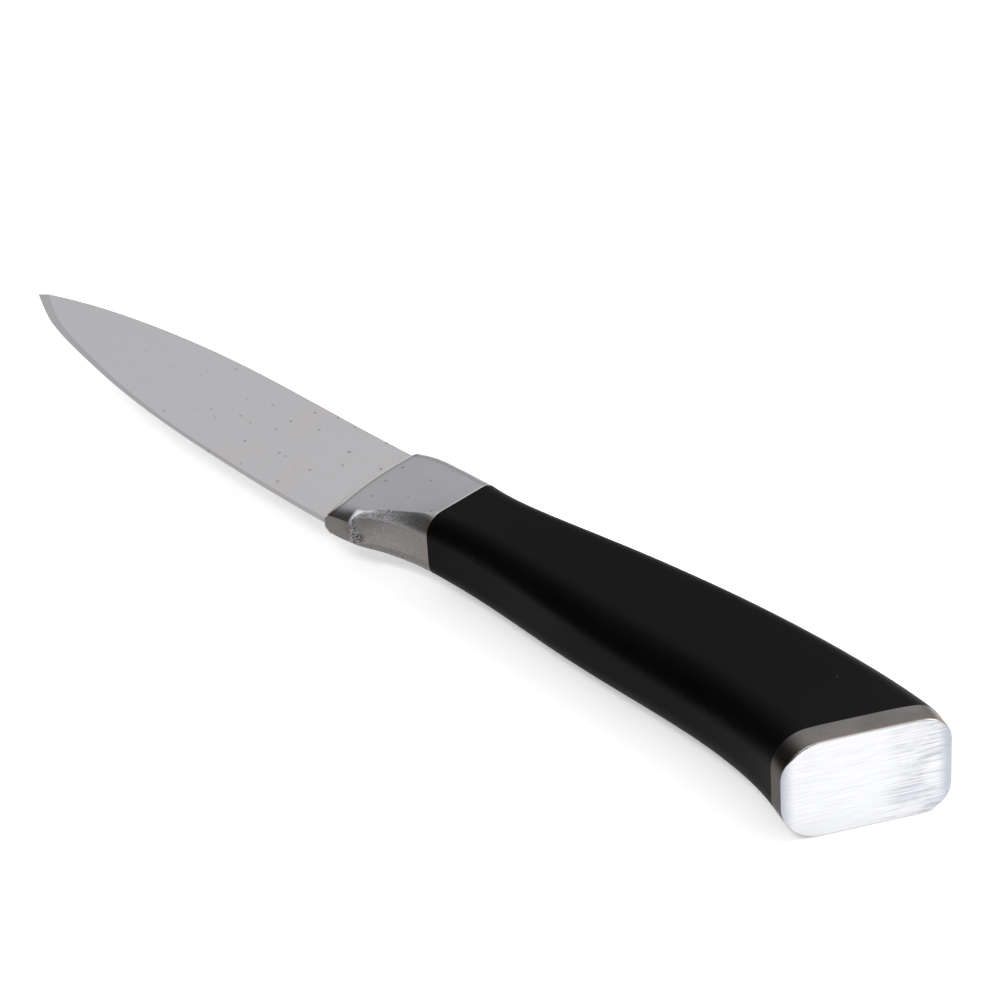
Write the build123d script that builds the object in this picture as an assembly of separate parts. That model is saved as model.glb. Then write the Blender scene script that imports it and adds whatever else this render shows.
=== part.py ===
from build123d import *
import math
import os

# A paring knife lying on its flank, in millimetres.
# While it is built, X runs from the point towards the butt with zero where
# the bolster starts, Y runs from the cutting edge up to the spine with zero
# on the spine, and Z is the thickness with zero on the middle plane.
# At the end every piece moves together so that the origin is the centre of
# the underside of the knife's bounding box.

# Blade
blade_length = 90.0            # point to bolster
blade_height = 22.3            # spine to edge at the heel
point_drop = 7.5               # the point lies this far below the spine
spine_thickness = 1.8          # sheet the blade is ground from
edge_thickness = 0.4           # behind the sharpened bevel, at the heel
point_thickness = 0.9          # ground thickness at the point
sharpening_angle = 16.0        # degrees each side
front_setback = 0.8            # spine end of the line where blade meets bolster
heel_setback = 2.8             # heel end of that line
front_bulge = 1.2             # bow of the line where blade meets bolster
# how far along the blade, and how far down towards the point or the heel
spine_profile_shares = [(0.25, -0.02), (0.5, -0.02), (0.72, 0.2), (0.87, 0.52)]
edge_profile_shares = [(0.1, 0.995), (0.26, 0.968), (0.46, 0.907), (0.64, 0.802),
                       (0.78, 0.68), (0.9, 0.54)]

# Root and stub tang of the blade
root_depth = 4.5               # part of the blade let into the bolster
root_shoulder = 1.6            # step at the spine and at the edge
stub_width = 8.0
stub_length = 16.0             # behind the bolster

# Bolster
bolster_length = 21.5
bolster_step = 0.15            # stands this much proud of the blade at its front line
joint_height = 16.2            # bolster and grip where they meet
joint_thickness = 12.0
joint_spine_drop = 0.55        # spine of the joint below the blade's spine
joint_radius = 3.5
joint_crown = 0.02             # bow of each flank
joint_flat_share = 0.48       # middle of each flank that is flat, as a share of its half height
shoulder_slope = 0.9           # straight ramp behind the front line, rise over run
crest_thickness = 9.0          # bolster's thickness at its front, before the ramp cuts it
flank_rise = 1.6               # how early the flank reaches the thickness of the joint
flank_lean = 0.09              # how far each flank leans in towards the belly, over run
# along the bolster: how far the belly has climbed from the heel to the joint, where the flank rolls
# over, from spine to heel, how wide the flat belly facet is, as a share of the joint's thickness, and
# the spine corner's radius, as a share of the joint's
bolster_station_shares = [
    (-0.03, 0.0, 0.86, 0.18, 1.1), (0.03, 0.0, 0.85, 0.22, 1.1), (0.09, 0.02, 0.84, 0.26, 1.15),
    (0.16, 0.05, 0.83, 0.29, 1.12), (0.25, 0.09, 0.825, 0.32, 0.95), (0.37, 0.17, 0.82, 0.32, 0.82),
    (0.47, 0.34, 0.81, 0.34, 0.8), (0.57, 0.58, 0.79, 0.36, 0.83), (0.67, 0.75, 0.76, 0.38, 0.86),
    (0.78, 0.85, 0.72, 0.395, 0.9), (0.89, 0.92, 0.66, 0.41, 0.95), (1.0, 0.95, 0.59, 0.43, 1.0),
]
scoop_length = 13.6            # half length of the finger scoop
scoop_depth = 5.5

# Grip and butt
grip_length = 88.2             # bolster to cap, along X
butt_height = 26.8
butt_thickness = 17.5
butt_crown = 0.8
butt_flat_share = 0.35
butt_centre_drop = 3.9         # centre of the butt below the centre of the joint
butt_angle = 28.4              # slant of the butt, degrees
butt_belly_radius = 6.0
butt_spine_radius = 4.6
# along the grip: turn, centre drop, height, thickness
grip_station_shares = [
    (0.0, 0.0, 0.0, 0.0, 0.0),
    (0.16, 0.26, 0.03, 0.0, 0.26),
    (0.325, 0.43, -0.02, 0.30, 0.355),
    (0.48, 0.573, -0.06, 0.565, 0.37),
    (0.635, 0.70, -0.06, 0.74, 0.385),
    (0.78, 0.817, 0.09, 0.85, 0.47),
    (0.915, 0.93, 0.50, 0.937, 0.71),
    (1.0, 1.0, 1.0, 1.0, 1.0),
]
skin_wall = 2.4
front_wall = 3.0
rear_wall = 5.0

# Butt cap
cap_depth = 4.0
cap_flare = 0.25               # cap grows by this much towards its end face
cap_lean = 0.35                # end face shifted towards the spine
cap_rim = 0.3                  # rounded rim of the end face
end_roll_radius = 4.0          # the end face rolls off at its spine and belly ends
end_roll_run = 2.2
spigot_depth = 1.6             # boss that locates the cap in the grip
spigot_inset = 3.4

# Strap that joins the stub tang to the cap
strap_width = 8.0
strap_thickness = 1.6
strap_setback = 2.5            # from the bolster
lug_length = 18.0
lug_width = 8.0
strap_lap = 14.0               # overlap on the lug
rivet_diameter = 3.0
rivet_head_diameter = 4.6
rivet_head_height = 0.6
rivet_pitch = 7.0
weld_leg = 1.0
weld_length = 6.0

# Core of the grip
peg_diameter = 3.0
peg_length = 2.2
peg_share = (0.68, 0.86)       # stations of the two pegs along the grip
peg_inset = 3.4                # from the core's belly side

corner_limit_share = 0.95      # a corner radius stays below this share of the half thickness

# Clearances
core_gap = 0.05                # between core and skin
strap_gap = 0.10               # between core and steel
peg_gap = 0.10
overrun = 5.0                  # cutting tools run past the work


def rounded_outline(half_height, half_thickness, belly_radius, spine_radius, crown=0.0, flat_share=0.0):
    """Closed outline, local X across the thickness, local Y towards the spine.

    The crown is how far each flank bows out past its corners, from a flat band along its middle.
    """
    side = half_thickness - crown
    flanks = [Line((side, half_height), (side, -half_height)),
              Line((-side, -half_height), (-side, half_height))]
    if crown > 0:
        flat = half_height * flat_share
        flanks = []
        for x, way in ((1, 1), (-1, -1)):
            flanks += [TangentArc((x * half_thickness, way * flat), (x * side, way * half_height),
                                  tangent=(0, way)),
                       Line((x * half_thickness, way * flat), (x * half_thickness, -way * flat)),
                       TangentArc((x * half_thickness, -way * flat), (x * side, -way * half_height),
                                  tangent=(0, -way))]
    ends = [Line((side, -half_height), (-side, -half_height)),
            Line((-side, half_height), (side, half_height))]
    outline = make_face(flanks + ends)
    largest = side * corner_limit_share
    spine_corners = outline.vertices().sort_by(Axis.Y)[-2:]
    outline = fillet(spine_corners, radius=min(spine_radius, largest))
    belly_corners = outline.vertices().sort_by(Axis.Y)[:2]
    return fillet(belly_corners, radius=min(belly_radius, largest))


def section_plane(x, y, turn):
    """Plane square to the grip; its Y runs to the spine side, its normal to the butt."""
    angle = math.radians(turn)
    normal = (math.cos(angle), -math.sin(angle), 0)
    return Plane(origin=(x, y, 0), x_dir=(0, 0, -1), z_dir=normal)


joint_centre = -joint_spine_drop - joint_height / 2
butt_radians = math.radians(butt_angle)
grip_end_x = bolster_length + grip_length
grip_end_y = joint_centre - butt_centre_drop


def grip_station(share_row, inset=0.0):
    along, turn, drop, height, thickness = share_row
    x = bolster_length + along * grip_length
    y = joint_centre - drop * butt_centre_drop
    half_height = (joint_height + height * (butt_height - joint_height)) / 2 - inset
    half_thickness = (joint_thickness + thickness * (butt_thickness - joint_thickness)) / 2 - inset
    belly = joint_radius + along * (butt_belly_radius - joint_radius) - inset
    spine = joint_radius + along * (butt_spine_radius - joint_radius) - inset
    crown = joint_crown + along**2 * (butt_crown - joint_crown)
    flat_share = joint_flat_share + along * (butt_flat_share - joint_flat_share)
    plane = section_plane(x, y, turn * butt_angle)
    return plane * rounded_outline(half_height, half_thickness, belly, spine, crown, flat_share)


def grip_body(inset=0.0):
    return loft([grip_station(row, inset) for row in grip_station_shares])


def half_space(plane, reach):
    """Everything behind a plane, as far as reach."""
    return plane * Pos(0, 0, -reach / 2) * Box(2 * reach, 2 * reach, reach)


def butt_plane(setback):
    """Plane square to the slanted butt, this far in front of the cap joint."""
    x = grip_end_x - setback * math.cos(butt_radians)
    y = grip_end_y + setback * math.sin(butt_radians)
    return section_plane(x, y, butt_angle)


def prism(face, half_depth):
    """Extrude a face in the XY plane equally to both sides."""
    return extrude(face, amount=half_depth, both=True)


# Line where the blade meets the bolster
front_top = (front_setback, 0)
front_bottom = (heel_setback, -blade_height)
front_middle = ((front_setback + heel_setback) / 2 - front_bulge, -blade_height / 2)
reach = blade_length + grip_length


def blade_outline():
    spine_points = [(-share * blade_length, -drop * point_drop) for share, drop in spine_profile_shares]
    edge_points = [(heel_setback - share * (blade_length + heel_setback), -drop * blade_height)
                   for share, drop in edge_profile_shares]
    point = (-blade_length, -point_drop)
    spine = Spline([front_top] + spine_points + [point])
    edge = Spline([point] + edge_points[::-1] + [front_bottom])
    front = ThreePointArc(front_bottom, front_middle, front_top)
    return make_face([spine, edge, front])


def sharpened_prism():
    """Prism whose edge side leans in at the sharpening angle, on one side of the middle."""
    points = [(heel_setback - share * (blade_length + heel_setback), -drop * blade_height)
              for share, drop in edge_profile_shares]
    last = points[-1]
    point = (-blade_length, -point_drop)
    beyond = (2 * point[0] - last[0], 2 * point[1] - last[1])
    behind = (heel_setback + overrun, -blade_height)
    track = [behind, front_bottom] + points + [point, beyond]
    depth = spine_thickness
    inset = depth / math.tan(math.radians(sharpening_angle))

    def outline(shift, level):
        moved = []
        for k, (x, y) in enumerate(track):
            before = track[max(k - 1, 0)]
            after = track[min(k + 1, len(track) - 1)]
            run = math.hypot(after[0] - before[0], after[1] - before[1])
            moved.append((x + shift * (after[1] - before[1]) / run,
                          y - shift * (after[0] - before[0]) / run))
        edge = Spline(moved)
        top_front = (moved[-1][0], blade_height)
        top_back = (moved[0][0], blade_height)
        closing = Polyline([moved[-1], top_front, top_back, moved[0]])
        return Pos(0, 0, level) * make_face([edge] + closing.edges())

    upper = loft([outline(0.0, 0.0), outline(inset, depth)], ruled=True)
    return upper + mirror(upper, about=Plane.XY)


def ground_space():
    """Space between the two flat ground faces of the blade."""
    across = (spine_thickness - edge_thickness) / 2 / blade_height
    point_half = point_thickness / 2
    along = (spine_thickness / 2 - across * point_drop - point_half) / (blade_length + front_setback)
    faces = []
    for side in (1, -1):
        plane = Plane(origin=(front_setback, 0, side * spine_thickness / 2), z_dir=(-along, -across, side))
        faces.append(half_space(plane, reach))
    return faces[0] & faces[1]


def make_blade():
    ground = ground_space()
    blade = prism(blade_outline(), spine_thickness) & sharpened_prism() & ground
    # The root is let into the bolster; its shoulders hide behind the front line.
    root_top = -root_shoulder
    root_bottom = -blade_height + root_shoulder
    root_height = root_top - root_bottom
    root_back = front_setback + root_depth
    root_front = -front_bulge
    root_box = Box(root_back - root_front, root_height, spine_thickness)
    root = Pos((root_back + root_front) / 2, (root_top + root_bottom) / 2, 0) * root_box
    behind_front = prism(behind_front_face(), spine_thickness)
    root = root & ground & behind_front
    stub_end = bolster_length + stub_length
    stub_box = Box(stub_end - root_depth / 2, stub_width, spine_thickness)
    stub = Pos((stub_end + root_depth / 2) / 2, joint_centre, 0) * stub_box
    blade = blade + root + stub
    for x in stub_rivet_places():
        blade -= Pos(x, joint_centre, 0) * Cylinder(rivet_diameter / 2, overrun)
    return blade


def behind_front_face():
    """Everything behind the line where the blade meets the bolster."""
    front = ThreePointArc(front_bottom, front_middle, front_top)
    back = bolster_length + overrun
    closing = Polyline([front_top, (front_setback, overrun), (back, overrun), (back, -blade_height - overrun),
                        (heel_setback, -blade_height - overrun), front_bottom])
    return make_face([front] + closing.edges())


def bolster_section(x, belly, half_thickness, spine_radius, facet, roll_start, lean):
    """Section whose leaning flanks roll over to a flat belly facet of that half width."""
    spine = -joint_spine_drop * x / bolster_length
    half_height = (spine - belly) / 2
    centre = (spine + belly) / 2
    roll_half = half_thickness - lean * (spine - roll_start)
    edges = [Line((-half_thickness, half_height), (half_thickness, half_height)),
             Line((facet, -half_height), (-facet, -half_height))]
    for side in (1, -1):
        corner = (side * roll_half, roll_start - centre)
        edges += [Line((side * half_thickness, half_height), corner),
                  TangentArc(corner, (side * facet, -half_height), tangent=(-side * lean, -1))]
    outline = make_face(edges)
    spine_corners = outline.vertices().sort_by(Axis.Y)[-2:]
    return section_plane(x, centre, 0) * fillet(spine_corners, radius=spine_radius)


def shoulder_space():
    """Everything behind the front line, under a straight ramp that climbs from it on both sides."""
    front_half = spine_thickness / 2 + bolster_step
    face = behind_front_face()
    ramp = extrude(Pos(0, 0, front_half) * face, amount=joint_thickness, dir=(1, 0, shoulder_slope))
    return prism(face, front_half) + ramp + mirror(ramp, about=Plane.XY)


def make_bolster(blade):
    joint_half = joint_thickness / 2
    crest_half = crest_thickness / 2
    joint_belly = -joint_spine_drop - joint_height
    sections = []
    for share, climb, roll_share, facet_share, spine_share in bolster_station_shares:
        rise = 1 - (1 - share)**flank_rise
        half = crest_half + rise * (joint_half - crest_half)
        belly = -blade_height + climb * (blade_height + joint_belly)
        spine_corner = min(joint_radius * spine_share, half * corner_limit_share)
        x = front_setback + share * (bolster_length - front_setback)
        roll_start = min(-roll_share * blade_height, joint_belly + joint_radius)
        lean = flank_lean * (1 - share**3)
        sections.append(bolster_section(x, belly, half, spine_corner, joint_half * facet_share,
                                        roll_start, lean))
    body = loft(sections) & shoulder_space()
    body -= scoop_cutter()
    return body - blade


def scoop_cutter():
    """A dished wheel, stretched along X, that hollows the belly behind the chin."""
    half = joint_thickness / 2
    flat = half - joint_radius
    outer = scoop_depth + joint_radius
    upper = CenterArc((outer, flat), joint_radius, 90, 90)
    lower = CenterArc((outer, -flat), joint_radius, 180, 90)
    floor = Line((scoop_depth, -flat), (scoop_depth, flat))
    closing = Polyline([(outer, half), (outer, half + overrun), (0, half + overrun),
                        (0, -half - overrun), (outer, -half - overrun), (outer, -half)])
    profile = Plane.XZ * make_face([lower, floor, upper] + closing.edges())
    wheel = revolve(profile, axis=Axis.Z)
    stretched = scale(wheel, by=(scoop_length / scoop_depth, 1, 1))
    joint_belly = -joint_spine_drop - joint_height
    return Pos(bolster_length, joint_belly - scoop_depth, 0) * stretched


def stub_rivet_places():
    middle = bolster_length + (strap_setback + stub_length) / 2
    return [middle - rivet_pitch / 2, middle + rivet_pitch / 2]


def lug_rivet_places():
    middle = lug_front() + strap_lap / 2
    return [middle - rivet_pitch / 2, middle + rivet_pitch / 2]


def lug_front():
    return grip_end_x - lug_length


def make_strap():
    front = bolster_length + strap_setback
    back = lug_front() + strap_lap
    level = (spine_thickness + strap_thickness) / 2
    strap = Pos((front + back) / 2, joint_centre, level) * Box(back - front, strap_width, strap_thickness)
    for x in stub_rivet_places() + lug_rivet_places():
        strap -= Pos(x, joint_centre, level) * Cylinder(rivet_diameter / 2, overrun)
    return strap


def make_rivets(places):
    """Plain shanks with a flat head on each side."""
    top = spine_thickness / 2 + strap_thickness
    bottom = -spine_thickness / 2
    rivets = []
    for x in places:
        shank = Pos(x, joint_centre, (top + bottom) / 2) * Cylinder(rivet_diameter / 2, top - bottom)
        head = Cylinder(rivet_head_diameter / 2, rivet_head_height)
        upper = Pos(x, joint_centre, top + rivet_head_height / 2) * head
        lower = Pos(x, joint_centre, bottom - rivet_head_height / 2) * head
        rivets.append(shank + upper + lower)
    return rivets


def make_lug():
    """Strip welded to the inside of the cap."""
    front = lug_front()
    back = grip_end_x + overrun * 2
    lug = Pos((front + back) / 2, joint_centre, 0) * Box(back - front, lug_width, spine_thickness)
    lug &= half_space(butt_plane(spigot_depth), reach)
    for x in lug_rivet_places():
        lug -= Pos(x, joint_centre, 0) * Cylinder(rivet_diameter / 2, overrun)
    return lug


def make_weld_pair(plane, centre_y):
    """Two fillet beads in the corners between a steel strip and a face it meets."""
    half = spine_thickness / 2
    corner = Polyline([(0, 0), (-weld_leg, 0), (0, weld_leg), (0, 0)])
    bead = extrude(Plane.XZ * make_face(corner.edges()), amount=weld_length / 2, both=True)
    beads = []
    for side in (1, -1):
        turned = bead if side == 1 else mirror(bead, about=Plane.XY)
        beads.append(plane * Pos(0, centre_y, side * half) * turned)
    return beads


def make_cap():
    base = butt_plane(0.0)
    half_height = butt_height / 2
    half_thickness = butt_thickness / 2
    outline = rounded_outline(half_height, half_thickness, butt_belly_radius,
                              butt_spine_radius, butt_crown, butt_flat_share)
    grown = rounded_outline(half_height, half_thickness + cap_flare / 2, butt_belly_radius + cap_flare,
                            butt_spine_radius + cap_flare, butt_crown, butt_flat_share)
    body = loft([outline, Pos(0, cap_lean, cap_depth) * grown], ruled=True)
    rim = body.faces().sort_by(Axis.Z)[-1].edges()
    body = fillet(rim, radius=cap_rim)
    body &= end_roll()
    boss = rounded_outline(half_height - spigot_inset, half_thickness - spigot_inset,
                           butt_belly_radius - spigot_inset, butt_spine_radius - spigot_inset)
    body += Pos(0, 0, -spigot_depth) * extrude(boss, amount=spigot_depth + cap_depth / 2)
    return base * body


def end_roll():
    """Rounded block that takes the spine and belly ends of the end face over to the side."""
    half_height = butt_height / 2 + cap_flare + end_roll_radius - end_roll_run
    bottom = -spigot_depth - overrun
    block = Pos(0, cap_lean, (cap_depth + bottom) / 2) * Box(
        butt_thickness + overrun, 2 * half_height, cap_depth - bottom)
    ends = block.edges().filter_by(Axis.X).group_by(Axis.Z)[-1]
    return fillet(ends, radius=end_roll_radius)


def core_space(gap):
    """Room inside the skin for the core, grown or shrunk by a gap."""
    space = grip_body(skin_wall + gap)
    front = bolster_length + front_wall + gap
    front_plane = Plane(origin=(front, joint_centre, 0), z_dir=(-1, 0, 0))
    space &= half_space(front_plane, reach)
    space &= half_space(butt_plane(rear_wall + gap), reach)
    return space


def steel_space(gap):
    """Room for stub, strap, lug and rivets inside the core."""
    front = bolster_length
    back = grip_end_x
    width = max(stub_width, strap_width, lug_width) + 2 * gap
    low = -spine_thickness / 2 - rivet_head_height - gap
    high = spine_thickness / 2 + strap_thickness + rivet_head_height + gap
    slot = Box(back - front, width, high - low)
    return Pos((front + back) / 2, joint_centre, (high + low) / 2) * slot


def peg_places():
    places = []
    for share in peg_share:
        x = bolster_length + share * grip_length
        rows = [row for row in grip_station_shares if row[0] <= share]
        nearest = rows[-1]
        half_height = (joint_height + nearest[3] * (butt_height - joint_height)) / 2
        y = joint_centre - nearest[2] * butt_centre_drop - half_height + skin_wall + peg_inset
        places.append((x, y))
    return places


def make_cores():
    core = core_space(core_gap) - steel_space(strap_gap)
    upper_side = Pos(0, 0, reach / 2) * Box(4 * reach, 4 * reach, reach)
    left = core & upper_side
    right = core - upper_side
    for x, y in peg_places():
        left += Pos(x, y, -peg_length / 2) * Cylinder(peg_diameter / 2, peg_length)
        socket_depth = peg_length + peg_gap
        right -= Pos(x, y, -socket_depth / 2) * Cylinder(peg_diameter / 2 + peg_gap, socket_depth)
    return left, right


def make_grip(blade, cap, lug, beads, strap):
    grip = grip_body() - core_space(0.0)
    for piece in [blade, cap, lug, strap] + beads:
        grip -= piece
    return grip


blade = make_blade()
bolster = make_bolster(blade)
strap = make_strap()
lug = make_lug()
cap = make_cap()
stub_rivets = make_rivets(stub_rivet_places())
lug_rivets = make_rivets(lug_rivet_places())
bolster_plane = Plane(origin=(bolster_length, joint_centre, 0), x_dir=(-1, 0, 0), z_dir=(0, 0, 1))
bolster_welds = make_weld_pair(bolster_plane, 0.0)
core_left, core_right = make_cores()
grip = make_grip(blade, cap, lug, bolster_welds, strap)

pieces = {
    "blade": [blade],
    "bolster": [bolster],
    "bolster_welds": bolster_welds,
    "tang_strap": [strap],
    "stub_rivets": stub_rivets,
    "core_left": [core_left],
    "core_right": [core_right],
    "grip": [grip],
    "butt_cap": [cap],
    "cap_lug": [lug],
    "lug_rivets": lug_rivets,
}

solids = {name: [solid for piece in group for solid in piece.solids()] for name, group in pieces.items()}
box = Compound([solid for group in solids.values() for solid in group]).bounding_box()
to_origin = Location((-box.center().X, -box.center().Y, -box.min.Z))
os.makedirs("parts", exist_ok=True)
for name, group in solids.items():
    export_step(Compound([to_origin * solid for solid in group]), f"parts/{name}.step")
print("box", box.size, "moved by", to_origin.position)
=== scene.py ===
# %% [markdown]
# # A paring knife on a pale table
# This lesson dresses the CAD model of a small kitchen knife: a ground blade, a cast bolster with a finger
# scoop, a black moulded grip and a slanted steel butt cap. The CAD gives the shapes and places. Blender
# gives the finish of each surface, the light and the camera.
# A finish could be a painted picture, but a picture is as sharp as its pixels and needs an unwrapped
# surface. Here every finish is worked out from noise in millimetres, so it has the right scale everywhere.

import math

import bpy
from mathutils import Matrix, Vector


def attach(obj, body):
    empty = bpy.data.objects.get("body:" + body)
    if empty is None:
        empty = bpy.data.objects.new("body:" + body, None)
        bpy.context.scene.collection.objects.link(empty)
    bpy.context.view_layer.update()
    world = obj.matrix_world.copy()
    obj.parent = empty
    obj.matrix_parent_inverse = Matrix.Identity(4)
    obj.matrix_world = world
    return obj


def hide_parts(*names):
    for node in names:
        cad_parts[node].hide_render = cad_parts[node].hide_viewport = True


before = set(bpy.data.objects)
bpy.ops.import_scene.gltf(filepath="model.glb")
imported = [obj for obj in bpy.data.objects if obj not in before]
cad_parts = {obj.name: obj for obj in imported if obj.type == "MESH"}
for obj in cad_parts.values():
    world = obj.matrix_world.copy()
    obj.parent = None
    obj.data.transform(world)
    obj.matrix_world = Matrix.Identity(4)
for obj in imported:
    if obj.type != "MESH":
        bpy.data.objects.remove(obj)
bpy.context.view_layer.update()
MM = 0.001
print("nodes:", ", ".join(sorted(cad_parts)))

# %% [markdown]
# ## Where things are measured from
# The maker's drawing starts at the heel, where the blade's spine line meets the bolster. Every place in
# this lesson is given from there, in millimetres: x towards the butt, y towards the spine, z up through
# the thickness. One function turns such a place into the frame's metres.

# %% The heel and the camera
heel = Vector((-14.656, 11.404, 8.865))


def place(x, y, z):
    """A place in millimetres from the heel, as metres in the frame."""
    return (heel + Vector((x, y, z))) * MM


aim_place = (19.77, 1.30, 0.0)
view_azimuth = math.radians(47.646)
view_height = math.radians(34.008)
view_roll = math.radians(-3.573)
view_distance = 656.4
lens_length = 144.0


def photo_camera():
    """A long lens above the butt, looking along the knife to its point."""
    back = Vector((math.sin(view_azimuth) * math.cos(view_height),
                   -math.cos(view_azimuth) * math.cos(view_height), math.sin(view_height)))
    level = (-back).cross(Vector((0, 0, 1))).normalized()
    upright = back.cross(level)
    right = math.cos(view_roll) * level + math.sin(view_roll) * upright
    up = -math.sin(view_roll) * level + math.cos(view_roll) * upright
    data = bpy.data.cameras.new("photo_camera")
    data.lens = lens_length
    data.sensor_width = 36.0
    data.clip_start = 0.05
    camera = bpy.data.objects.new("photo_camera", data)
    bpy.context.scene.collection.objects.link(camera)
    turned = Matrix((right, up, back)).transposed().to_4x4()
    camera.matrix_world = Matrix.Translation(place(*aim_place) + back * view_distance * MM) @ turned
    return camera


bpy.context.scene.camera = photo_camera()
print("camera stands", round(view_distance), "mm from the knife")

# %% [markdown]
# ## Short words for building node trees
# A finish is a tree of nodes. Written out in full, each node takes four or five lines, and the idea gets
# lost. A few small helpers add a node with its settings, wire an input or fill it with a number, do one
# step of arithmetic, and give the place of a surface point in millimetres.


# %% Node helpers
def add_node(tree, kind, settings=None, **inputs):
    """A new node; each keyword is an input's name with _ for a space, or i and its number."""
    node = tree.nodes.new(kind)
    for name, value in (settings or {}).items():
        setattr(node, name, value)
    for name, value in inputs.items():
        numbered = name[0] == "i" and name[1:].isdigit()
        socket = node.inputs[int(name[1:])] if numbered else node.inputs[name.replace("_", " ")]
        fill(tree, socket, value)
    return node


def fill(tree, socket, value):
    """Wires a socket to another node's output, or writes a plain value into it."""
    if isinstance(value, bpy.types.NodeSocket):
        tree.links.new(value, socket)
    else:
        socket.default_value = value


def calculate(tree, operation, first, second=0.0, third=0.0):
    """One step of arithmetic; only MULTIPLY_ADD uses the third value."""
    node = add_node(tree, "ShaderNodeMath", {"operation": operation}, i0=first, i1=second, i2=third)
    return node.outputs[0]


def product(tree, *values):
    """All the values multiplied, from left to right."""
    result = values[0]
    for value in values[1:]:
        result = calculate(tree, "MULTIPLY", result, value)
    return result


def blend_colours(tree, share, first, second):
    """From the first colour to the second by a share from 0 to 1."""
    node = add_node(tree, "ShaderNodeMix", {"data_type": "RGBA"}, i0=share, i6=first, i7=second)
    return node.outputs[2]


def soft_step(tree, value, start, end, low=0.0, high=1.0):
    """A value that climbs smoothly from low to high between start and end."""
    node = add_node(tree, "ShaderNodeMapRange", {"interpolation_type": "SMOOTHSTEP"},
                    Value=value, From_Min=start, From_Max=end, To_Min=low, To_Max=high)
    return node.outputs[0]


def measured_along(tree, vector, way):
    """How far a vector reaches along a direction."""
    node = add_node(tree, "ShaderNodeVectorMath", {"operation": "DOT_PRODUCT"}, i0=vector, i1=way)
    return node.outputs["Value"]


def distance_from(tree, point, spot):
    """Millimetres between the surface point and a fixed spot."""
    node = add_node(tree, "ShaderNodeVectorMath", {"operation": "DISTANCE"}, i0=point, i1=spot)
    return node.outputs["Value"]


def surface_normal(tree):
    """Which way the surface faces on the object."""
    return add_node(tree, "ShaderNodeTexCoord").outputs["Normal"]


def split(tree, vector):
    """The X, Y and Z of a vector as three outputs."""
    return add_node(tree, "ShaderNodeSeparateXYZ", i0=vector).outputs


def add_bump(tree, shader, strength, depth, height):
    """Tilts the surface as if it rose by the height times the depth in metres."""
    bump = add_node(tree, "ShaderNodeBump", Strength=strength, Distance=depth, Height=height)
    fill(tree, shader.inputs["Normal"], bump.outputs[0])


def heel_coordinates(tree, turn=0.0):
    """The surface point in millimetres from the heel, turned about z by an angle in degrees."""
    point = add_node(tree, "ShaderNodeTexCoord").outputs["Object"]
    scaled = add_node(tree, "ShaderNodeVectorMath", {"operation": "SCALE"}, i0=point, Scale=1 / MM)
    moved = add_node(tree, "ShaderNodeVectorMath", {"operation": "SUBTRACT"},
                     i0=scaled.outputs[0], i1=heel)
    if not turn:
        return moved.outputs[0]
    turned = add_node(tree, "ShaderNodeVectorRotate", {"rotation_type": "Z_AXIS"},
                      Vector=moved.outputs[0], Angle=math.radians(turn))
    return turned.outputs[0]


def new_material(name):
    """An empty material with its surface shader; returns the material, its tree and the shader."""
    material = bpy.data.materials.new(name)
    material.use_nodes = True
    tree = material.node_tree
    return material, tree, tree.nodes["Principled BSDF"]


print("helpers ready")

# %% [markdown]
# ## Effects that several finishes share
# Ground steel, cast steel and moulded plastic differ in colour, but the same few things happen to all of
# them: a belt or brush leaves fine parallel lines, handling leaves cloudy patches, and dirt or corrosion
# leaves small dark specks. Each effect is one shader node group with named inputs, placed in each material
# with its own numbers. The groups only put out values; the surface shader stays in the material.


# %% Shader groups
def new_group(name, inputs, outputs):
    """A shader node group with named number or vector sockets."""
    group = bpy.data.node_groups.new(name, "ShaderNodeTree")
    for label, kind, value in inputs:
        socket = group.interface.new_socket(label, in_out="INPUT", socket_type=kind)
        if value is not None:
            socket.default_value = value
    for label in outputs:
        group.interface.new_socket(label, in_out="OUTPUT", socket_type="NodeSocketFloat")
    return group, group.nodes.new("NodeGroupInput"), group.nodes.new("NodeGroupOutput")


def use_group(tree, group, **inputs):
    """Places a shader group in a material's tree."""
    node = tree.nodes.new("ShaderNodeGroup")
    node.node_tree = group
    for name, value in inputs.items():
        fill(tree, node.inputs[name.replace("_", " ")], value)
    return node


def make_brushed_lines():
    """Lines left by a belt: noise that is stretched many times along x."""
    group, given, result = new_group(
        "brushed_lines",
        [("Point", "NodeSocketVector", None), ("Lines per mm", "NodeSocketFloat", 8.0),
         ("Length", "NodeSocketFloat", 12.0)], ["Lines"])
    along = calculate(group, "DIVIDE", 1.0, given.outputs["Length"])
    stretch = add_node(group, "ShaderNodeCombineXYZ", X=along, Y=given.outputs["Lines per mm"],
                       Z=given.outputs["Lines per mm"])
    squeezed = add_node(group, "ShaderNodeVectorMath", {"operation": "MULTIPLY"},
                        i0=given.outputs["Point"], i1=stretch.outputs[0])
    noise = add_node(group, "ShaderNodeTexNoise", Vector=squeezed.outputs[0], Scale=1.0, Detail=3.0,
                     Roughness=0.6)
    fill(group, result.inputs["Lines"], soft_step(group, noise.outputs["Fac"], 0.3, 0.7))
    return group


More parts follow.
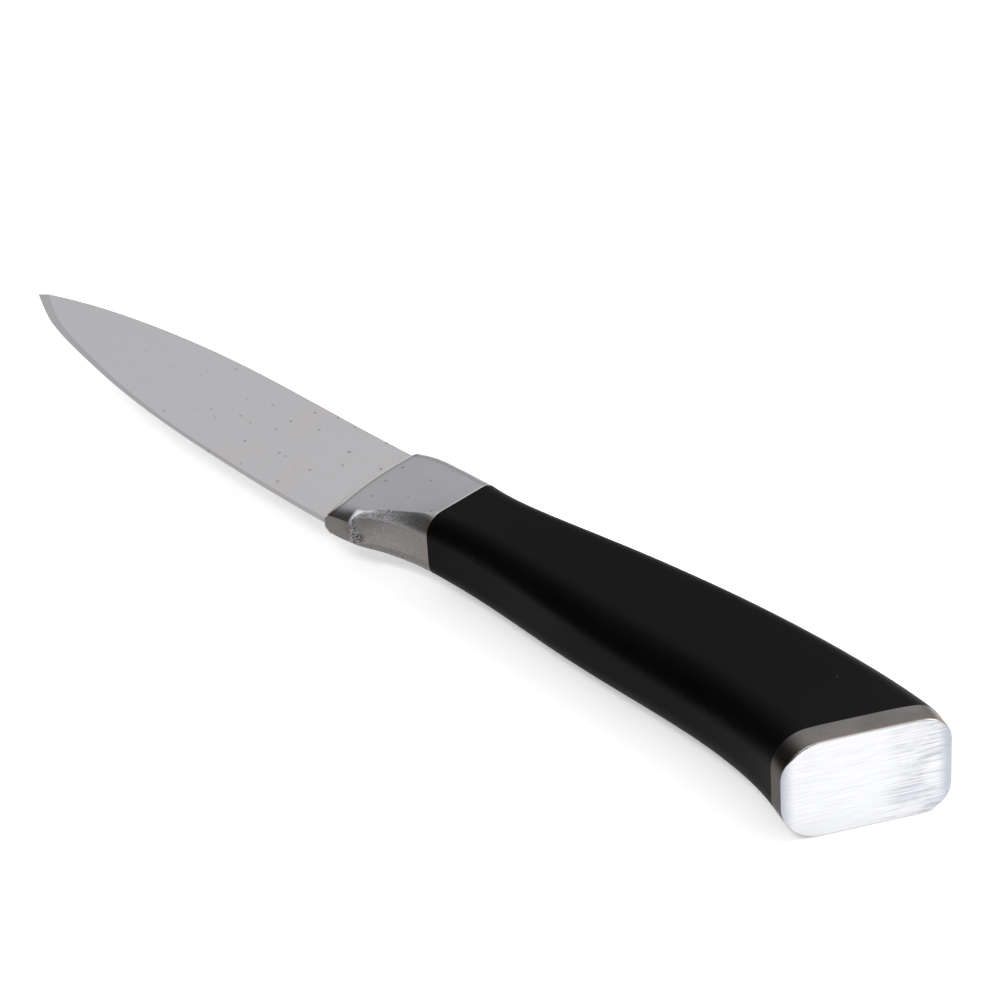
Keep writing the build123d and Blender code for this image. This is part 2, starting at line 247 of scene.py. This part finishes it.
def make_cloudy_patches():
    """Soft blotches of a given size; Share is how much of the surface they cover."""
    group, given, result = new_group(
        "cloudy_patches",
        [("Point", "NodeSocketVector", None), ("Size", "NodeSocketFloat", 8.0),
         ("Share", "NodeSocketFloat", 0.5)], ["Patches"])
    scale = calculate(group, "DIVIDE", 1.0, given.outputs["Size"])
    noise = add_node(group, "ShaderNodeTexNoise", Vector=given.outputs["Point"], Scale=scale,
                     Detail=4.0, Roughness=0.55, Distortion=0.3)
    softness = 0.18
    middle = calculate(group, "SUBTRACT", 1.0, given.outputs["Share"])
    low = calculate(group, "SUBTRACT", middle, softness)
    high = calculate(group, "ADD", middle, softness)
    fill(group, result.inputs["Patches"], soft_step(group, noise.outputs["Fac"], low, high))
    return group


def make_small_specks():
    """Scattered round specks: a few cells of a cell pattern, each kept only near its middle."""
    group, given, result = new_group(
        "small_specks",
        [("Point", "NodeSocketVector", None), ("Spacing", "NodeSocketFloat", 3.0),
         ("Radius", "NodeSocketFloat", 0.15), ("Share", "NodeSocketFloat", 0.3)], ["Specks"])
    scale = calculate(group, "DIVIDE", 1.0, given.outputs["Spacing"])
    cells = add_node(group, "ShaderNodeTexVoronoi", {"feature": "F1"}, Vector=given.outputs["Point"],
                     Scale=scale)
    chance = add_node(group, "ShaderNodeSeparateColor", i0=cells.outputs["Color"])
    size = calculate(group, "MULTIPLY", given.outputs["Radius"], chance.outputs["Green"])
    reach = calculate(group, "MULTIPLY", cells.outputs["Distance"], given.outputs["Spacing"])
    solid_share = 0.4
    inner = calculate(group, "MULTIPLY", size, solid_share)
    round_speck = soft_step(group, reach, inner, size, 1.0, 0.0)
    kept = calculate(group, "LESS_THAN", chance.outputs["Red"], given.outputs["Share"])
    fill(group, result.inputs["Specks"], calculate(group, "MULTIPLY", round_speck, kept))
    return group


brushed_lines = make_brushed_lines()
cloudy_patches = make_cloudy_patches()
small_specks = make_small_specks()
print("shader groups:", ", ".join(g.name for g in (brushed_lines, cloudy_patches, small_specks)))

# %% [markdown]
# ## The blade
# The blade is ground from sheet and finished with a fine belt, so it is satin: it reflects the room as a
# soft even grey. Handling has left faint warm patches near the bolster, and tiny dark specks.
# A mirror with a little noise would sparkle. A rough metal with very shallow lines keeps the even look.


# %% Blade steel
blade_grey, blade_warm = (0.70, 0.695, 0.715, 1), (0.72, 0.675, 0.68, 1)
blade_speck = (0.22, 0.20, 0.20, 1)
smoothest, line_roughness = 0.33, 0.06


def ground_steel():
    """Pale satin steel with faint patches, specks and fine lines along the blade."""
    material, tree, shader = new_material("ground_blade_steel")
    point = heel_coordinates(tree)
    lines = use_group(tree, brushed_lines, Point=point, Lines_per_mm=7.0, Length=9.0)
    clouds = use_group(tree, cloudy_patches, Point=point, Size=9.0, Share=0.45)
    specks = use_group(tree, small_specks, Point=point, Spacing=1.5, Radius=0.46, Share=0.5)
    along = split(tree, point)["X"]
    warm = product(tree, clouds.outputs[0], soft_step(tree, along, -45.0, -5.0))
    colour = blend_colours(tree, warm, blade_grey, blade_warm)
    speck_share = product(tree, specks.outputs[0], soft_step(tree, along, -75.0, -5.0, 0.12, 0.6))
    colour = blend_colours(tree, speck_share, colour, blade_speck)
    fill(tree, shader.inputs["Base Color"], colour)
    shader.inputs["Metallic"].default_value = 1.0
    rough = calculate(tree, "MULTIPLY_ADD", lines.outputs[0], line_roughness, smoothest)
    fill(tree, shader.inputs["Roughness"], rough)
    add_bump(tree, shader, 0.12, 0.02 * MM, lines.outputs[0])
    return material


def dress(name, material):
    """Gives a carried-over CAD node its finish."""
    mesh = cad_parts[name].data
    mesh.materials.clear()
    mesh.materials.append(material)
    print(f"{name}: {material.name}, {len(mesh.polygons)} faces")


dress("blade", ground_steel())


# %% [markdown]
# ## The bolster
# The bolster is a cast collar, ground on its flanks, so it is a little darker than the blade. No belt
# reaches the scoop: its floor keeps the brownish grain of the casting, and dirt stays in the pits under it.
# The glints on its wall and its bright front end are painted highlights, and the side that faces down,
# facet and scoop, is painted darker as painted shade. Each of these is a mask worked out from the place
# and from which way the surface faces. The bright line at the grip is a painted highlight on the thin edge
# that the grip was moulded against, brown on its lower part as a painted reflection; the bright line at the
# blade is a painted highlight too, with a thin band of painted shade just behind it.


# %% Places on the bolster
blade_height = 22.3
front_setback, heel_setback, front_bulge = 0.8, 2.8, 1.2
ramp_slope, ramp_foot = 0.9, 1.05
joint_x = 21.5
scoop_middle = (joint_x, -22.25)
scoop_half_length, scoop_hollow = 13.6, 5.5


def height_over_scoop(tree, parts):
    """Millimetres from the floor of the scoop, measured up its rounded side."""
    along = product(tree, calculate(tree, "SUBTRACT", parts["X"], scoop_middle[0]),
                    scoop_hollow / scoop_half_length)
    across = calculate(tree, "SUBTRACT", parts["Y"], scoop_middle[1])
    flat_place = add_node(tree, "ShaderNodeCombineXYZ", X=along, Y=across)
    return calculate(tree, "SUBTRACT", distance_from(tree, flat_place.outputs[0], (0, 0, 0)), scoop_hollow)


def height_over_ramp(tree, parts):
    """Millimetres in front of the straight ramp behind the blade: nought on it, less on the flank."""
    bow = 4 * front_bulge
    down_share = product(tree, parts["Y"], -1 / blade_height)
    curve = calculate(tree, "MULTIPLY_ADD", down_share, bow, heel_setback - front_setback - bow)
    front_x = calculate(tree, "ADD", product(tree, curve, down_share), front_setback)
    behind = calculate(tree, "SUBTRACT", parts["X"], front_x)
    ramp = calculate(tree, "MULTIPLY_ADD", behind, ramp_slope, ramp_foot)
    return calculate(tree, "SUBTRACT", calculate(tree, "ABSOLUTE", parts["Z"]), ramp)


print("scoop middle", scoop_middle, "and ramp slope", ramp_slope)

# %% [markdown]
# ### The scoop
# The scoop needs three masks. The hollow is all of it. The glints are a painted highlight on its rounded
# wall: pale grains that fade towards the grip; the front end is a painted highlight without a break. The
# dirt sits in pits near the front end and in specks everywhere.
# One noise with a hard threshold would give even glints. Glints that also depend on which way the wall
# faces follow the shape, as a highlight does.

# %% Scoop masks
pit_spots = (((8.5, -21.0, 0.6), 1.9), ((9.0, -20.6, -1.4), 1.5), ((12.6, -19.0, -1.6), 1.1),
             ((12.8, -18.9, -2.6), 0.9))


def hollow_mask(tree, parts, facing):
    """One inside the scoop, nought on the flanks and in front of the scoop."""
    return product(tree, soft_step(tree, height_over_scoop(tree, parts), 3.6, 2.4),
                   soft_step(tree, facing["Z"], 0.97, 0.9), soft_step(tree, parts["X"], 7.6, 8.4))


def painted_glint_mask(tree, point, parts, facing, hollow):
    """Painted highlight: pale grains on the scoop's wall, and the pale front end."""
    sparks = add_node(tree, "ShaderNodeTexNoise", Vector=point, Scale=5.0, Detail=2.0, Roughness=0.6)
    glint_grains = product(tree, hollow, soft_step(tree, facing["Z"], -0.06, 0.12),
                     soft_step(tree, facing["Z"], 0.45, 0.85, 1.0, 0.3),
                     soft_step(tree, sparks.outputs["Fac"], 0.4, 0.62, 0.25, 0.8),
                     soft_step(tree, parts["X"], 20.5, 12.0, 0.3, 0.9))
    # Painted highlight on the front end, bright without a break.
    front_end = product(tree, hollow, soft_step(tree, facing["Z"], 0.25, 0.5),
                        soft_step(tree, parts["X"], 12.4, 10.0), 0.95)
    return calculate(tree, "MAXIMUM", glint_grains, front_end)


def dirt_mask(tree, point, facing, hollow):
    """Dark specks everywhere, and pits in a few spots and on the wall that faces the butt."""
    specks = use_group(tree, small_specks, Point=point, Spacing=1.4, Radius=0.4, Share=0.45)
    dirt = product(tree, specks.outputs[0], 0.5)
    pits = add_node(tree, "ShaderNodeTexNoise", Vector=point, Scale=2.6, Detail=4.0, Roughness=0.7)
    deep = soft_step(tree, pits.outputs["Fac"], 0.47, 0.56)
    for spot, reach in pit_spots:
        near = soft_step(tree, distance_from(tree, point, spot), reach, 0.3 * reach)
        dirt = calculate(tree, "MAXIMUM", dirt, product(tree, near, deep))
    front_wall = product(tree, hollow, soft_step(tree, facing["X"], 0.7, 0.88),
                         soft_step(tree, facing["Z"], 0.55, 0.3),
                         soft_step(tree, pits.outputs["Fac"], 0.40, 0.54, 0.15, 0.95))
    return calculate(tree, "MAXIMUM", dirt, front_wall)


print("pits at", len(pit_spots), "spots")

# %% [markdown]
# ### The whole bolster
# The colours go on in this order: bare metal with painted shade on the side that faces down, grain,
# painted glints, dirt, and last the painted shade and painted highlights at the two thin edges, the one at
# the blade and the one at the grip.

# %% Bolster steel
flank_cool, flank_grey = (0.56, 0.555, 0.59, 1), (0.54, 0.53, 0.55, 1)
# Painted shade: the belly facet and the scoop are brownish, and painted darker for the shaded table that they
# mirror.
shaded_facet_grey, shaded_scoop_grey = (0.235, 0.218, 0.204, 1), (0.25, 0.232, 0.217, 1)
# The glint white and the edge and joint whites are painted highlights; the crease grey is painted shade and
# the joint brown a painted reflection.
grain_grey, painted_glint_white = (0.34, 0.315, 0.30, 1), (0.86, 0.87, 0.92, 1)
dirt_black, crease_shade_grey = (0.06, 0.05, 0.05, 1), (0.2, 0.19, 0.2, 1)
edge_highlight_white, joint_highlight_white, joint_reflection_brown = (0.92, 0.91, 0.90, 1), (0.92, 0.91, 0.89, 1), (0.36, 0.26, 0.19, 1)


def cast_steel():
    """Grey satin steel, grainy and brownish in the scoop, with painted shade underneath and painted
    highlights on the scoop's wall and edges.
    """
    material, tree, shader = new_material("cast_bolster_steel")
    point = heel_coordinates(tree)
    parts = split(tree, point)
    facing = split(tree, surface_normal(tree))
    hollow = hollow_mask(tree, parts, facing)
    painted_glint = painted_glint_mask(tree, point, parts, facing, hollow)
    # The side that faces down gets painted shade.
    shaded_belly = soft_step(tree, facing["Y"], -0.35, -0.8)

    clouds = use_group(tree, cloudy_patches, Point=point, Size=5.0, Share=0.5)
    flank = blend_colours(tree, clouds.outputs[0], flank_cool, flank_grey)
    colour = blend_colours(tree, shaded_belly, flank, blend_colours(tree, hollow, shaded_facet_grey, shaded_scoop_grey))
    grain = add_node(tree, "ShaderNodeTexNoise", Vector=point, Scale=2.4, Detail=4.0, Roughness=0.7)
    fine = product(tree, soft_step(tree, grain.outputs["Fac"], 0.5, 0.68), hollow)
    colour = blend_colours(tree, fine, colour, grain_grey)
    # Painted highlight: the glints are pale colour, and not metallic, so the lamps light them.
    colour = blend_colours(tree, painted_glint, colour, painted_glint_white)
    colour = blend_colours(tree, dirt_mask(tree, point, facing, hollow), colour, dirt_black)

    # Painted shade in a thin band just behind the edge at the blade, then a painted highlight along that
    # edge.
    over_ramp = height_over_ramp(tree, parts)
    crease_shade = product(tree, soft_step(tree, over_ramp, -0.9, -0.4), 0.4)
    colour = blend_colours(tree, crease_shade, colour, crease_shade_grey)
    colour = blend_colours(tree, soft_step(tree, over_ramp, -0.24, -0.12), colour, edge_highlight_white)
    # Painted highlight on the edge at the grip: white on top, and a painted brown reflection on the side that
    # faces down.
    joint_highlight_band = soft_step(tree, parts["X"], joint_x - 0.3, joint_x - 0.12)
    joint_highlight_colour = blend_colours(tree, shaded_belly, joint_highlight_white, joint_reflection_brown)
    fill(tree, shader.inputs["Base Color"], blend_colours(tree, joint_highlight_band, colour, joint_highlight_colour))
    # The painted glints are not metallic.
    fill(tree, shader.inputs["Metallic"], calculate(tree, "SUBTRACT", 1.0, painted_glint))
    fill(tree, shader.inputs["Roughness"], soft_step(tree, hollow, 0.0, 1.0, 0.34, 0.31))
    depth = soft_step(tree, hollow, 0.0, 1.0, 0.1, 0.9)
    add_bump(tree, shader, depth, 0.06 * MM, grain.outputs[0])
    return material


dress("bolster", cast_steel())


# %% [markdown]
# ## The grip
# The grip is black plastic, moulded round the core in one shot. Its skin is satin: dark all over, with a
# soft sheen and a very fine texture from the mould.


# %% Grip plastic
skin_black, skin_grey = (0.0016, 0.0014, 0.0016, 1), (0.0022, 0.0019, 0.0021, 1)
dust_grey = (0.12, 0.12, 0.12, 1)
skin_roughness, patch_roughness = 0.42, 0.05


def black_plastic():
    """Black satin plastic with a fine mould texture and a few pale dust specks."""
    material, tree, shader = new_material("black_grip_plastic")
    point = heel_coordinates(tree)
    clouds = use_group(tree, cloudy_patches, Point=point, Size=14.0, Share=0.5)
    dust = use_group(tree, small_specks, Point=point, Spacing=2.5, Radius=0.3, Share=0.02)
    colour = blend_colours(tree, clouds.outputs[0], skin_black, skin_grey)
    colour = blend_colours(tree, product(tree, dust.outputs[0], 0.6), colour, dust_grey)
    fill(tree, shader.inputs["Base Color"], colour)
    shader.inputs["Specular IOR Level"].default_value = 0.07
    rough = calculate(tree, "MULTIPLY_ADD", clouds.outputs[0], patch_roughness, skin_roughness)
    fill(tree, shader.inputs["Roughness"], rough)
    texture = add_node(tree, "ShaderNodeTexNoise", Vector=point, Scale=6.0, Detail=2.0)
    add_bump(tree, shader, 0.08, 0.04 * MM, texture.outputs[0])
    return material


dress("grip", black_plastic())


# %% [markdown]
# ## The butt cap
# The cap is made of the same steel. Its end face is brushed along its length until it is nearly white,
# with greyer lines, most towards the spine, and painted shade in blue grey where it rolls off at its ends.
# Its side band is left duller and a little brown, with painted shade where it faces down, and a thin warm
# line marks the rim between the two.


# %% Cap steel
slant_degrees = 28.4
slant = math.radians(slant_degrees)
butt_way = (math.cos(slant), -math.sin(slant), 0)
spine_way = (math.sin(slant), math.cos(slant), 0)
end_level, end_middle = 106.4, 41.1
# The blue grey of the rolled ends and the dark brown of the side facing down are painted shade.
end_white, line_grey, roll_shade_blue = (0.90, 0.90, 0.91, 1), (0.42, 0.43, 0.48, 1), (0.45, 0.48, 0.54, 1)
band_brown, band_grey, shaded_belly_brown = (0.29, 0.265, 0.26, 1), (0.23, 0.22, 0.215, 1), (0.095, 0.078, 0.068, 1)
rim_brown = (0.42, 0.26, 0.14, 1)


def cap_steel():
    """Brushed steel: nearly white on the slanted end face, duller and brownish round the side, with painted
    shade at the rolled ends and underneath.
    """
    material, tree, shader = new_material("brushed_cap_steel")
    point = heel_coordinates(tree)
    long_point = heel_coordinates(tree, turn=90 + slant_degrees)
    lines = use_group(tree, brushed_lines, Point=long_point, Lines_per_mm=4.5, Length=7.0)
    clouds = use_group(tree, cloudy_patches, Point=long_point, Size=4.0, Share=0.5)
    to_spine = measured_along(tree, point, spine_way)
    to_butt = measured_along(tree, point, butt_way)

    spine_half = soft_step(tree, to_spine, end_middle - 2.0, end_middle + 11.0)
    worn = product(tree, spine_half, soft_step(tree, clouds.outputs[0], 0.0, 1.0, 0.45, 1.0))
    grey_share = product(tree, lines.outputs[0], soft_step(tree, worn, 0.0, 1.0, 0.22, 1.0))
    end_face = blend_colours(tree, grey_share, end_white, line_grey)
    # Painted shade: blue grey where the end face rolls off at its two ends.
    off_middle = calculate(tree, "ABSOLUTE", calculate(tree, "SUBTRACT", to_spine, end_middle))
    shaded_ends = product(tree, soft_step(tree, off_middle, 10.9, 13.3), 0.85)
    end_face = blend_colours(tree, shaded_ends, end_face, roll_shade_blue)

    facing = split(tree, surface_normal(tree))
    band = blend_colours(tree, clouds.outputs[0], band_brown, band_grey)
    # Painted shade: the side band is darker where it faces down.
    band = blend_colours(tree, soft_step(tree, facing["Y"], -0.5, -0.85), band, shaded_belly_brown)
    rim = product(tree, soft_step(tree, to_butt, end_level - 0.45, end_level - 0.15), 0.5)
    band = blend_colours(tree, rim, band, rim_brown)
    on_end = soft_step(tree, measured_along(tree, surface_normal(tree), butt_way), 0.45, 0.75)
    fill(tree, shader.inputs["Base Color"], blend_colours(tree, on_end, band, end_face))
    shader.inputs["Metallic"].default_value = 1.0
    shader.inputs["Roughness"].default_value = 0.34
    add_bump(tree, shader, soft_step(tree, on_end, 0.0, 1.0, 0.08, 0.35), 0.03 * MM, lines.outputs[0])
    return material


dress("butt_cap", cap_steel())


# %% [markdown]
# ## The pieces inside
# The welds, strap, rivets, lug and core halves can't be seen in the finished knife, but the model is also
# used opened up, so each gets its own plain workshop finish.


# %% Hidden pieces
def workshop_finish(name, pale, dark, metallic, roughness):
    """Two tones in patches, with a fine grain."""
    material, tree, shader = new_material(name)
    point = heel_coordinates(tree)
    clouds = use_group(tree, cloudy_patches, Point=point, Size=3.0, Share=0.5)
    lines = use_group(tree, brushed_lines, Point=point, Lines_per_mm=4.0, Length=8.0)
    fill(tree, shader.inputs["Base Color"], blend_colours(tree, clouds.outputs[0], pale, dark))
    shader.inputs["Metallic"].default_value = metallic
    shader.inputs["Roughness"].default_value = roughness
    add_bump(tree, shader, 0.2, 0.03 * MM, lines.outputs[0])
    return material


strap_steel = workshop_finish("mill_strap_steel", (0.45, 0.45, 0.46, 1), (0.36, 0.35, 0.35, 1), 1.0, 0.4)
weld_steel = workshop_finish("weld_bead_steel", (0.40, 0.38, 0.36, 1), (0.28, 0.24, 0.22, 1), 1.0, 0.5)
core_plastic = workshop_finish("core_plastic", (0.05, 0.05, 0.05, 1), (0.035, 0.035, 0.036, 1), 0.0, 0.6)
for name, material in (("tang_strap", strap_steel), ("cap_lug", strap_steel),
                       ("bolster_welds", weld_steel), ("core_left", core_plastic),
                       ("core_right", core_plastic)):
    dress(name, material)


# %% [markdown]
# ## The rivets
# Two rows of two rivets hold the strap. The rivets are all alike, and the pitch is the same in both rows.
# Four drawn rivets would have to be kept alike by hand, so one tree of geometry nodes makes a row: one
# rivet with headed ends, repeated along a line. Only the middle of the row changes.


# %% Rivet rows
def new_shape_tree(name, sizes):
    """An empty tree of geometry nodes with named sizes; returns it with its inputs and outputs."""
    tree = bpy.data.node_groups.new(name, "GeometryNodeTree")
    tree.interface.new_socket("Geometry", in_out="INPUT", socket_type="NodeSocketGeometry")
    for size_name, kind in sizes:
        tree.interface.new_socket(size_name, in_out="INPUT", socket_type=kind)
    tree.interface.new_socket("Geometry", in_out="OUTPUT", socket_type="NodeSocketGeometry")
    return tree, tree.nodes.new("NodeGroupInput").outputs, tree.nodes.new("NodeGroupOutput").inputs


round_sides = 48
crown_share = 0.85


def make_rivet_row():
    """A row of rivets along x, each with a shank and two heads that narrow outwards."""
    number = "NodeSocketFloat"
    tree, given, result = new_shape_tree("rivet_row", [
        ("Count", "NodeSocketInt"), ("Pitch", number), ("Shank Radius", number), ("Head Radius", number),
        ("Head Height", number), ("Between Heads", number), ("Middle", "NodeSocketVector"),
        ("Material", "NodeSocketMaterial")])
    half = product(tree, given["Between Heads"], 0.5)
    depth = calculate(tree, "ADD", given["Between Heads"], given["Head Height"])
    shank = add_node(tree, "GeometryNodeMeshCylinder", Vertices=round_sides,
                     Radius=given["Shank Radius"], Depth=depth)
    crown = product(tree, given["Head Radius"], crown_share)
    head = add_node(tree, "GeometryNodeMeshCone", Vertices=round_sides, Radius_Top=crown,
                    Radius_Bottom=given["Head Radius"], Depth=given["Head Height"])
    above = add_node(tree, "ShaderNodeCombineXYZ", Z=half)
    below = add_node(tree, "ShaderNodeCombineXYZ", Z=product(tree, half, -1.0))
    upper = add_node(tree, "GeometryNodeTransform", Geometry=head.outputs[0], Translation=above.outputs[0])
    lower = add_node(tree, "GeometryNodeTransform", Geometry=head.outputs[0], Translation=below.outputs[0],
                     Rotation=(math.pi, 0, 0))
    rivet = add_node(tree, "GeometryNodeMeshBoolean", {"operation": "UNION"})
    for piece in (shank, upper, lower):
        tree.links.new(piece.outputs[0], rivet.inputs[1])

    row = product(tree, given["Pitch"], calculate(tree, "SUBTRACT", given["Count"], 1.0))
    start = add_node(tree, "ShaderNodeCombineXYZ", X=product(tree, row, -0.5))
    start = add_node(tree, "ShaderNodeVectorMath", {"operation": "ADD"}, i0=start.outputs[0],
                     i1=given["Middle"])
    step = add_node(tree, "ShaderNodeCombineXYZ", X=given["Pitch"])
    line = add_node(tree, "GeometryNodeMeshLine", Count=given["Count"], Start_Location=start.outputs[0],
                    Offset=step.outputs[0])
    rivets = add_node(tree, "GeometryNodeInstanceOnPoints", Points=line.outputs[0], Instance=rivet.outputs[0])
    real = add_node(tree, "GeometryNodeRealizeInstances", Geometry=rivets.outputs[0])
    dressed = add_node(tree, "GeometryNodeSetMaterial", Geometry=real.outputs[0], Material=given["Material"])
    tree.links.new(dressed.outputs[0], result["Geometry"])
    return tree


def grow(name, tree, sizes):
    """Runs a tree with its sizes and keeps what it makes as a plain mesh."""
    piece = bpy.data.objects.new(name, bpy.data.meshes.new(name))
    bpy.context.scene.collection.objects.link(piece)
    modifier = piece.modifiers.new("shape", "NODES")
    modifier.node_group = tree
    for socket in tree.interface.items_tree:
        if socket.in_out == "INPUT" and socket.name in sizes:
            modifier[socket.identifier] = sizes[socket.name]
    evaluated = piece.evaluated_get(bpy.context.evaluated_depsgraph_get())
    mesh = bpy.data.meshes.new_from_object(evaluated)
    piece.modifiers.remove(modifier)
    piece.data = mesh
    return piece


rivet_row = make_rivet_row()
rivet_sizes = {"Count": 2, "Pitch": 7.0 * MM, "Shank Radius": 1.5 * MM, "Head Radius": 2.3 * MM,
               "Head Height": 0.6 * MM, "Between Heads": 3.4 * MM, "Material": strap_steel}
strap_y, strap_z = -8.65, 0.8
for node, middle_x in (("stub_rivets", 30.75), ("lug_rivets", 98.7)):
    rivets = grow(f"{node}_row", rivet_row, {**rivet_sizes, "Middle": place(middle_x, strap_y, strap_z)})
    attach(rivets, "root")
    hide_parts(node)
    print(rivets.name, len(rivets.data.polygons), "faces")


# %% [markdown]
# ## The table
# The knife lies on a pale table. In a picture a pale table under soft light comes out grey unless the
# lamps are strong, and strong lamps would bleach the steel. So the table glows a little towards the
# camera and much less in reflections, and the knife's shadow still shows on it.


# %% Table
def staged(name, points, faces, material):
    """A piece of scenery from its corners and faces."""
    mesh = bpy.data.meshes.new(name)
    mesh.from_pydata(points, [], faces)
    mesh.materials.append(material)
    piece = bpy.data.objects.new(name, mesh)
    bpy.context.scene.collection.objects.link(piece)
    return piece


def matt_finish(name, roughness, noise_scale, dark, pale):
    """A matt surface with a faint change of tone; returns the material, its tree and the shader."""
    material, tree, shader = new_material(name)
    shader.inputs["Roughness"].default_value = roughness
    shader.inputs["Specular IOR Level"].default_value = 0.0
    noise = add_node(tree, "ShaderNodeTexNoise", Scale=noise_scale)
    fill(tree, shader.inputs["Base Color"], blend_colours(tree, noise.outputs["Fac"], dark, pale))
    return material, tree, shader


def pale_table():
    """The table's finish, with a glow that differs for the camera and for reflections."""
    seen_glow, mirrored_glow = 0.45, 0.12
    material, tree, shader = matt_finish("pale_table", 0.9, 4.0, (0.93, 0.93, 0.93, 1), (0.95, 0.95, 0.95, 1))
    path = add_node(tree, "ShaderNodeLightPath").outputs
    mirrored = calculate(tree, "MAXIMUM", path["Is Glossy Ray"], path["Is Transmission Ray"])
    seen = product(tree, path["Is Camera Ray"], seen_glow)
    glow = calculate(tree, "MULTIPLY_ADD", mirrored, mirrored_glow, seen)
    shader.inputs["Emission Color"].default_value = (1, 1, 1, 1)
    fill(tree, shader.inputs["Emission Strength"], glow)
    return material


table_reach = 3.0
table_corners = [(x * table_reach, y * table_reach, 0) for x, y in ((-1, -1), (1, -1), (1, 1), (-1, 1))]
staged("table", table_corners, [(0, 1, 2, 3)], pale_table())
print("table:", 2 * table_reach, "m wide")

# %% [markdown]
# ## The black card
# Satin steel shows what stands round it. The knife's belly faces the table in front of it and would come
# out pale, but it is dark in the picture. A black card stands there as painted shade, for the table's shade
# in front of the edge. It is seen only in reflections: it gives no shadow and doesn't darken the table.

# %% Black card
card_foot = [(-0.2, -0.026), (-0.008, -0.025), (0.002, -0.0195), (0.03, -0.0205), (0.06, -0.026),
             (0.1, -0.036), (0.25, -0.07)]
card_low, card_high = 0.0005, 0.075


def black_card():
    """An upright strip along its foot line, in metres, in front of the edge."""
    points = [(x, y, z) for z in (card_low, card_high) for x, y in card_foot]
    count = len(card_foot)
    faces = [(k, k + 1, k + 1 + count, k + count) for k in range(count - 1)]
    material, _, _ = matt_finish("black_card", 1.0, 30.0, (0.012, 0.012, 0.012, 1), (0.02, 0.02, 0.02, 1))
    card = staged("dark_card", points, faces, material)
    card.visible_camera = False
    card.visible_diffuse = False
    card.visible_shadow = False
    return card


print(black_card().name, "stands in front of the edge")

# %% [markdown]
# ## Lamps and room
# A large soft box behind the spine lights the table and gives the shadow. A smaller one in front reaches
# into the scoop. The room is bright behind the spine, past the butt and overhead, and dark in front of
# the edge. Its light is plain and level, so a colour comes out about as written.


# %% Lamps and room
def lamp(name, spot, length, width, power):
    """A soft box that faces the knife."""
    data = bpy.data.lights.new(name, "AREA")
    data.shape = "RECTANGLE"
    data.size = length
    data.size_y = width
    data.energy = power
    light = bpy.data.objects.new(name, data)
    bpy.context.scene.collection.objects.link(light)
    light.location = spot
    light.rotation_euler = (-Vector(spot)).to_track_quat("-Z", "Y").to_euler()


def room():
    """A grey room: pale behind the spine and past the butt, dark in front of the edge."""
    world = bpy.data.worlds.new("soft_room")
    bpy.context.scene.world = world
    world.use_nodes = True
    tree = world.node_tree
    background = tree.nodes["Background"]
    towards = split(tree, add_node(tree, "ShaderNodeTexCoord").outputs["Generated"])
    behind = product(tree, soft_step(tree, towards["Y"], -0.35, 0.35, 0.03, 0.68),
                     soft_step(tree, towards["Z"], 0.05, 0.45, 0.2, 1.0))
    past_butt = soft_step(tree, towards["X"], 0.25, 0.8, 0.0, 0.75)
    overhead = soft_step(tree, towards["Z"], 0.7, 1.0, 0.0, 0.6)
    level = calculate(tree, "MAXIMUM", calculate(tree, "MAXIMUM", behind, past_butt), overhead)
    fill(tree, background.inputs["Strength"], level)
    cool = blend_colours(tree, past_butt, (1, 1, 1, 1), (0.9, 0.95, 1.0, 1))
    fill(tree, background.inputs["Color"], cool)


lamp("key_box", (0.35, 0.55, 0.6), 0.5, 0.5, power=4.1)
lamp("scoop_box", (0.1, -0.35, 0.52), 0.32, 0.14, power=1.5)
room()
print("two soft boxes and the room are in place")

# %% [markdown]
# ## The view transform
# The view transform is Standard, so a colour comes out as written.

# %% Finish
bpy.context.scene.view_settings.view_transform = "Standard"
